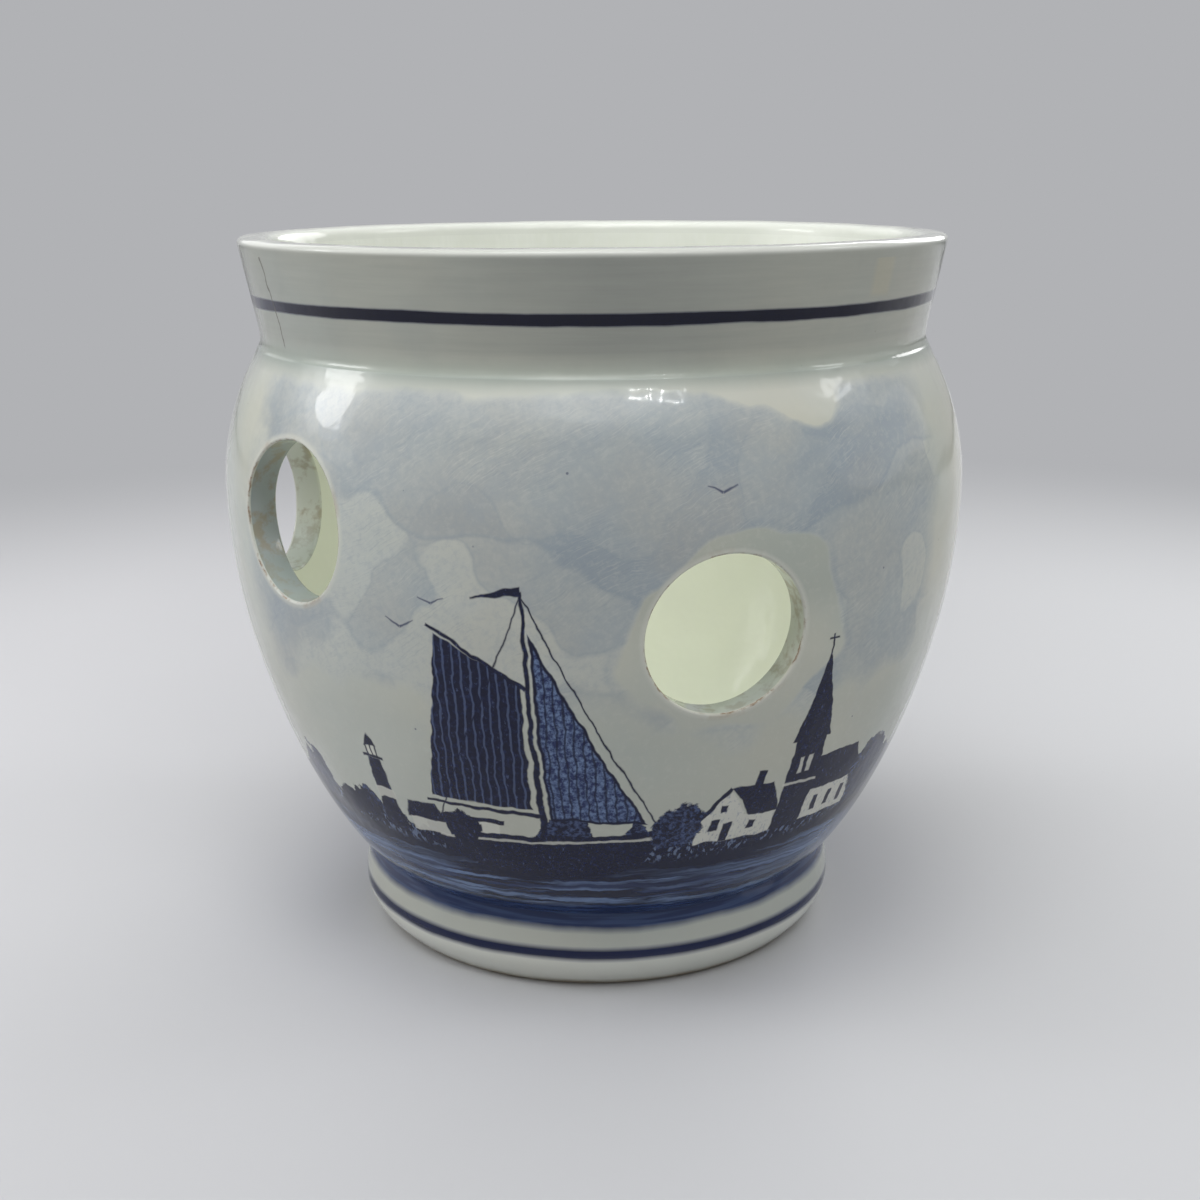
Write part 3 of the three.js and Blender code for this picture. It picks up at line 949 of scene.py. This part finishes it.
openings = (
    box(at, -14.7, 31.2, -13.3, 33.2), box(at, -12.4, 29, -11.0, 32.4), box(at, -8.0, 30.6, -6.6, 32.2),
    box(at, 4.6, 30.8, 5.7, 33.8), box(at, 7.9, 30.8, 9.0, 33.8), box(at, 11.2, 30.8, 12.3, 33.8),
    box(at, -13.5, 34.6, -12.5, 36.0),
)
ragged = rough_tops * 3.4 - 2.0
trees = (
    tree(at, 18.4, 35.4, 5.4, ragged), tree(at, 23.6, 33.0, 4.4, ragged), tree(at, -20.0, 32.8, 3.8, ragged),
    tree(at, 28.0, 32.0, 3.4, ragged),
)
fill(mix(hatching.over(0.62, 0.1) * 0.4, PAPER_WHITE, INK_PALE), *walls)
fill(ink, *roofs, *tower, *openings)
fill(PAPER_WHITE, *tower_lights, share=0.8)
fill(far_ink, *trees, soft=0.4)

# the beacon and its keeper's house
at = spot(-37.5)
beacon = (
    outline(at, (-2.1, 29), (2.1, 29), (1.3, 42.0), (-1.3, 42.0)), line(at, (-2.1, 42.2), (2.1, 42.2), 0.6),
    outline(at, (-1.3, 44.2), (1.3, 44.2), (0.0, 46.4)),
    outline(at, (3.0, 32.0), (11.0, 32.0), (9.6, 35.4), (4.4, 35.4)),
    tree(at, 13.5, 32.0, 2.8, ragged), tree(at, -6.0, 31.6, 2.8, ragged), tree(at, -10.5, 31.0, 2.4, ragged),
)
pale_parts = (box(at, -0.8, 42.5, 0.8, 44.2), box(at, -1.9, 34.6, 1.9, 36.4), box(at, 3.6, 29.6, 10.4, 32.2))
lantern_posts = (line(at, (x, 42.4), (x, 44.4), 0.3) for x in (-1.0, 0.0, 1.0))
fill(ink, *beacon, soft=0.3)
fill(PAPER_WHITE, *pale_parts, share=0.85)
fill(ink, *lantern_posts)

# gulls
gulls = []
for degrees, up, size in ((-27, 66, 1.0), (-22, 70, 0.8), (17, 86, 0.9), (172, 66, 1.0)):
    at = spot(degrees, back=True)
    x, z, _ = painted.parts(at)
    wing = together(abs(x), z - up, 1.0)
    gulls.append(line(wing, (0, 0), (2.4 * size, 1.1 * size), 0.42 * size, 0.15))
fill(INK_WORN, *gulls, share=0.8)

# worn edges of the planting holes, where the glaze drew thin and the body shows brown
thin_rim = reach.band(0.1, 1.2, 0.7)
worn_line = (reach + (rough_tops - 0.5) * 0.9).band(-0.2, 0.22, 0.22)
worn_line = worn_line * noise(0.16, 5.0, rough=0.7).over(0.52, 0.08)
stained = reach.band(0.3, 1.0, 0.8) * noise(0.2, 4.0).over(0.6, 0.1)
lay(thin_rim * 0.55, tint(214, 214, 204))
lay(stained * 0.3, WORN_BROWN)
lay(worn_line * 0.85, tint(124, 88, 44))
glassy(painted, pooled(painted, painted.colour, NECK[1] * 1000, 2.4))

lining = Finish("cream_glaze_inside")
lining.colour = cream_glaze(lining)
lining.lay(0.7 + lining.noise(0.05, 3.0) * 0.3, LIME)
tunnel = lining.stored("hole_reach").under(-0.3, 0.5)
rise = lining.stored("hole_rise")
# a grey-blue tint in every hole wall, strongest on the left on the near side
left_near_walls = lining.sideways.under(-30.0, 8.0) * lining.inwards.under(0.0, 5.0)
dirt = lining.noise(0.3, 4.0, rough=0.6)
lining.lay(tunnel * (0.25 + left_near_walls * 0.55), tint(132, 141, 147))
lining.lay(tunnel * dirt.over(0.55, 0.12) * 0.5, tint(146, 128, 92))
lining.lay(tunnel * rise.under(-7.0, 4.0) * 0.45, POOLED_GLAZE)
runs_and_glints = lining.noise(1.0, 2.0, lining.stretched((0.42, 0.42, 0.05)))
runs_and_glints = runs_and_glints * lining.height.over(111.0, 6.0)
# painted glints: pale streaks running down the inside near the rim, standing for light caught on the glaze;
# the same runs also ripple the glaze surface
lining.lay(runs_and_glints.over(0.5, 0.1) * 0.7, tint(236, 238, 234))
# painted light: the inside is made almost white towards the rim, standing for the bright light that falls in
# there
lining.lay(lining.height.over(109.0, 7.0) * 0.9, LIT_RIM_WHITE)
glassy(lining, lining.colour, runs_and_glints * 0.12)


def brushed_round(finish):
    """Fine level lines left by the brush while the pot turned."""
    return finish.noise(1.0, 4.0, finish.stretched((0.06, 0.06, 1.2)), 0.6)


def handled_and_shaded(finish, colour, brushing):
    """The collar's glaze, greyed by handling and darkened with painted shade, most of all at the front, where
    the outward-leaning collar turns away from the overhead light.
    """
    # painted shade: the collar is made darker at its front
    front_shade = finish.sideways.band(3.0, 30.0, 26.0) * finish.inwards.under(0.0, 10.0)
    amount = finish.height.over(103.6, 3.2) * (0.42 + brushing * 0.34 + front_shade * 0.34)
    colour = finish.mix(amount, colour, tint(156, 159, 152))
    return finish.mix(finish.noise(0.11, 3.0).over(0.62, 0.2) * 0.16, colour, tint(150, 153, 148))


collar_glaze = Finish("cream_collar_with_navy_line")
collar_paint = cream_glaze(collar_glaze)
brushing = brushed_round(collar_glaze)
collar_paint = handled_and_shaded(collar_glaze, collar_paint, brushing)
collar_turn = collar_glaze.sideways.math("ARCTAN2", -collar_glaze.inwards) * DEGREES
# painted reflection: a faint warm upright band on the collar's right side, standing for something warm
# reflected in the glaze
warm_reflection = collar_turn.band(47.5, 4.6, 1.2) * collar_glaze.height.over(111.5, 0.8)
collar_paint = collar_glaze.mix(warm_reflection * 0.35, collar_paint, tint(196, 189, 160))
collar_paint = stripe(collar_glaze, collar_paint, STRIPE_HEIGHT_ON_COLLAR, 1.8)
crack_turn = collar_glaze.height * -0.16 - 41.0 + (collar_glaze.noise(0.25, 3.0) - 0.5) * 3.0
crack = (collar_turn - crack_turn).band(0.0, 0.34, 0.36) * collar_glaze.height.over(103.4, 0.6)
collar_paint = collar_glaze.mix(crack * (0.7 + brushing * 0.8), collar_paint, tint(92, 88, 80))
collar_paint = pooled(collar_glaze, collar_paint, NECK[1] * 1000, 3.0)
glassy(collar_glaze, collar_paint)


def glaze_wall(made, outer_finish):
    """The outside and the rounded hole edges take the outer finish, and the rest the inside glaze."""
    made.data.materials.append(outer_finish.material)
    made.data.materials.append(lining.material)
    places, on_outside, _ = skins_of(made)
    reach = np.empty(len(places))
    made.data.attributes["hole_reach"].data.foreach_get("value", reach)
    outer = on_outside | ((reach < 0) & (reach > -EDGE_ROUNDING * 1400))
    for face in made.data.polygons:
        face.material_index = 0 if outer[list(face.vertices)].all() else 1


for part in (lower_belly, pierced_belly, shoulder_wall):
    glaze_wall(part, painted)
glaze_wall(collar, collar_glaze)
for part in wall_parts:
    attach(part, "root")
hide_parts("lower_belly")
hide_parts("pierced_belly")
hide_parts("shoulder")
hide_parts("collar")

# Rim lip
# The edge that closes the collar, trimmed flat and sponged, so that its outer corner is tight and its
# top a little wavy under the glaze.
lip_in = (float(inner_radius(COLLAR_TOP[1])), COLLAR_TOP[1])
lip_side = (COLLAR_TOP[0] + 0.0013 * collar_slope, COLLAR_TOP[1] + 0.0013)
lip_corner = (COLLAR_TOP[0] + 0.0020 * collar_slope, COLLAR_TOP[1] + 0.0022)
lip_top = (COLLAR_TOP[0] - 0.0007, COLLAR_TOP[1] + 0.00226)
lip_crown = (COLLAR_TOP[0] - 0.0026, COLLAR_TOP[1] + 0.00238)
lip_inner_top = (lip_in[0] + 0.0012, COLLAR_TOP[1] + 0.0021)
lip_inner_side = (lip_in[0] + 0.0006 * collar_slope, COLLAR_TOP[1] + 0.0006)
rim_lip = turned("rounded_rim_lip", [
    straight(COLLAR_TOP, lip_side, 2),
    rounded(lip_side, lip_corner, lip_top, 8),
    straight(lip_top, lip_crown, 3),
    straight(lip_crown, lip_inner_top, 3),
    rounded(lip_inner_top, (lip_in[0] + 0.0003, COLLAR_TOP[1] + 0.0019), lip_inner_side, 6),
    straight(lip_inner_side, lip_in, 1),
    straight(lip_in, COLLAR_TOP, 4),
])
places = places_of(rim_lip)
turn = np.arctan2(places[:, 0], -places[:, 1])
wave = 0.5 * np.sin(3 * turn + 0.4) + 0.3 * np.sin(8 * turn + 1.1) + 0.2 * np.sin(17 * turn + 2.0)
lifted = np.clip((places[:, 2] - lip_side[1]) / 0.0012, 0, 1)
places[:, 2] += 0.0001 * wave * lifted
places[:, :2] *= 1 + (0.0011 * np.roll(wave, 11) * lifted)[:, None]
rim_lip.data.vertices.foreach_set("co", places.ravel())
settle_shading(rim_lip)
lip_glaze = Finish("thick_glaze_on_the_lip")
# the lip's side takes the collar's handling and painted shade; its top is mixed to a paler tone
lip_paint = handled_and_shaded(lip_glaze, cream_glaze(lip_glaze), brushed_round(lip_glaze))
lip_paint = lip_glaze.mix(lip_glaze.height.over(118.4, 0.6) * 0.95, lip_paint, tint(214, 216, 209))
# painted light: the lip's inner side takes the same near-white as the inside below it
inner_side = lip_glaze.from_axis().under(lip_in[0] * 1000 + 1.6, 1.0)
lip_paint = lip_glaze.mix(inner_side * 0.9, lip_paint, LIT_RIM_WHITE)
glassy(lip_glaze, lip_paint)
rim_lip.data.materials.append(lip_glaze.material)
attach(rim_lip, "root")
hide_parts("rim_lip")

# Studio
# A pale paper floor that fades into a plain pale room, under soft light from overhead and both sides.
ROOM_GREY = tint(177, 178, 181)
ROOM_LIGHT = (0.80, 0.80, 0.81, 1)
ROOM_STRENGTH = 0.155
PANEL_STEP = 0.006
CAMERA_PLACE = (0.00088, -0.28868, 0.13065)
CAMERA_PITCH, CAMERA_ROLL = math.radians(75.351), math.radians(-0.348)
CAMERA_LENS = 50.24
bpy.ops.object.select_all(action="DESELECT")
bpy.ops.mesh.primitive_plane_add(size=3.0)
paper = bpy.context.object
paper.name = "pale_paper_floor"
paper_finish = Finish("pale_paper")
paper_tone = paper_finish.mix(paper_finish.noise(0.004, 2.0), tint(196, 197, 199), tint(192, 193, 196))
# painted light: the paper is paler towards the left, standing for the light that falls from that side
painted_light_on_left = paper_finish.sideways.under(-70.0, 160.0) * 0.8
paper_tone = paper_finish.mix(painted_light_on_left, paper_tone, tint(211, 211, 214))
paper_finish.wear(paper_tone, 0.6, paper_finish.noise(0.8, 3.0), 0.00001)
far = paper_finish.from_axis().over(370.0, 260.0)
far = far * far * (3.0 - far * 2.0) * paper_finish.node("ShaderNodeLightPath", {}, {}, "Is Camera Ray")
room_beyond = paper_finish.node("ShaderNodeEmission", {}, {"Color": ROOM_GREY, "Strength": 1.0})
near_paper = Shade(paper_finish, paper_finish.surface.outputs["BSDF"])
faded = paper_finish.node("ShaderNodeMixShader", {}, {0: far, 1: near_paper, 2: room_beyond})
paper_finish.feed(paper_finish.material.node_tree.nodes["Material Output"].inputs["Surface"], faded)
paper.data.materials.append(paper_finish.material)

camera = bpy.data.objects.new("photograph_view", bpy.data.cameras.new("photograph_view"))
bpy.context.scene.collection.objects.link(camera)
camera.data.lens = CAMERA_LENS
camera.data.sensor_width = 36
camera.location = CAMERA_PLACE
pitch = Matrix.Rotation(CAMERA_PITCH, 4, "X") @ Matrix.Rotation(CAMERA_ROLL, 4, "Z")
camera.rotation_euler = pitch.to_euler()
bpy.context.scene.camera = camera


def soft_light(name, place, aim, width, depth, power):
    """A lamp over the table, turned towards a point on the pot."""
    bpy.ops.object.light_add(type="AREA", location=place)
    lamp = bpy.context.object
    lamp.name = name
    lamp.data.shape = "ELLIPSE"
    lamp.data.size, lamp.data.size_y = width, depth
    lamp.data.energy = power
    lamp.rotation_euler = (Vector(aim) - Vector(place)).to_track_quat("-Z", "Y").to_euler()


def soft_panel(name, place, aim, width, depth, power, shares):
    """Lamps one inside another, each a little nearer than the last, so that the panel's edge is soft."""
    towards = (Vector(aim) - Vector(place)).normalized()
    for number, share in enumerate(shares):
        nearer = Vector(place) + towards * PANEL_STEP * number
        soft_light(name, nearer, aim, width * share, depth * share, power)


soft_panel("ceiling_panel", (-0.10, -0.28, 0.95), (0, 0, 0.0), 2.0, 1.4, 1.92, (1.0, 0.75, 0.5, 0.25))
soft_panel("panel_on_the_left", (-1.1, 0.05, 0.55), (0, 0, 0.03), 1.1, 0.9, 1.0, (1.0, 0.75, 0.5, 0.25))
soft_panel("panel_on_the_right", (1.05, 0.05, 0.8), (0, 0, 0.03), 0.8, 0.6, 0.95, (1.0, 0.4))
soft_panel("ceiling_panel_in_front", (0.0, -0.75, 0.95), (0, 0, 0.05), 1.0, 0.5, 0.5, (1.0, 0.6))
soft_light("low_panel_on_the_right", (1.0, 0.10, 0.26), (0, 0, 0.02), 1.0, 0.4, 0.5)
soft_light("panel_behind_on_the_left", (-0.6, 0.95, 0.50), (0, 0, 0.03), 0.9, 0.5, 0.9)
soft_light("panel_behind_on_the_right", (0.6, 0.95, 0.50), (0, 0, 0.03), 0.9, 0.5, 4.3)
for number in range(5):
    place = (0.189 + 0.053 * number, -0.657 + 0.013 * number, 0.85)
    soft_light(f"small_lamp_{number + 1}", place, (0.01, -0.055, 0.1), 0.012, 0.012, 0.08)

room = bpy.data.worlds.new("studio_room")
room.use_nodes = True
nodes, links = room.node_tree.nodes, room.node_tree.links
nodes["Background"].inputs["Color"].default_value = ROOM_LIGHT
nodes["Background"].inputs["Strength"].default_value = ROOM_STRENGTH
room_seen = nodes.new("ShaderNodeBackground")
room_seen.inputs["Color"].default_value = (*ROOM_GREY, 1)
path = nodes.new("ShaderNodeLightPath")
seen = nodes.new("ShaderNodeMath")
choice = nodes.new("ShaderNodeMixShader")
for output, socket in (
    (path.outputs["Is Camera Ray"], seen.inputs[0]), (path.outputs["Is Glossy Ray"], seen.inputs[1]),
    (seen.outputs[0], choice.inputs[0]), (nodes["Background"].outputs[0], choice.inputs[1]),
    (room_seen.outputs[0], choice.inputs[2]), (choice.outputs[0], nodes["World Output"].inputs["Surface"]),
):
    links.new(output, socket)
bpy.context.scene.world = room
bpy.context.scene.view_settings.view_transform = "Standard"
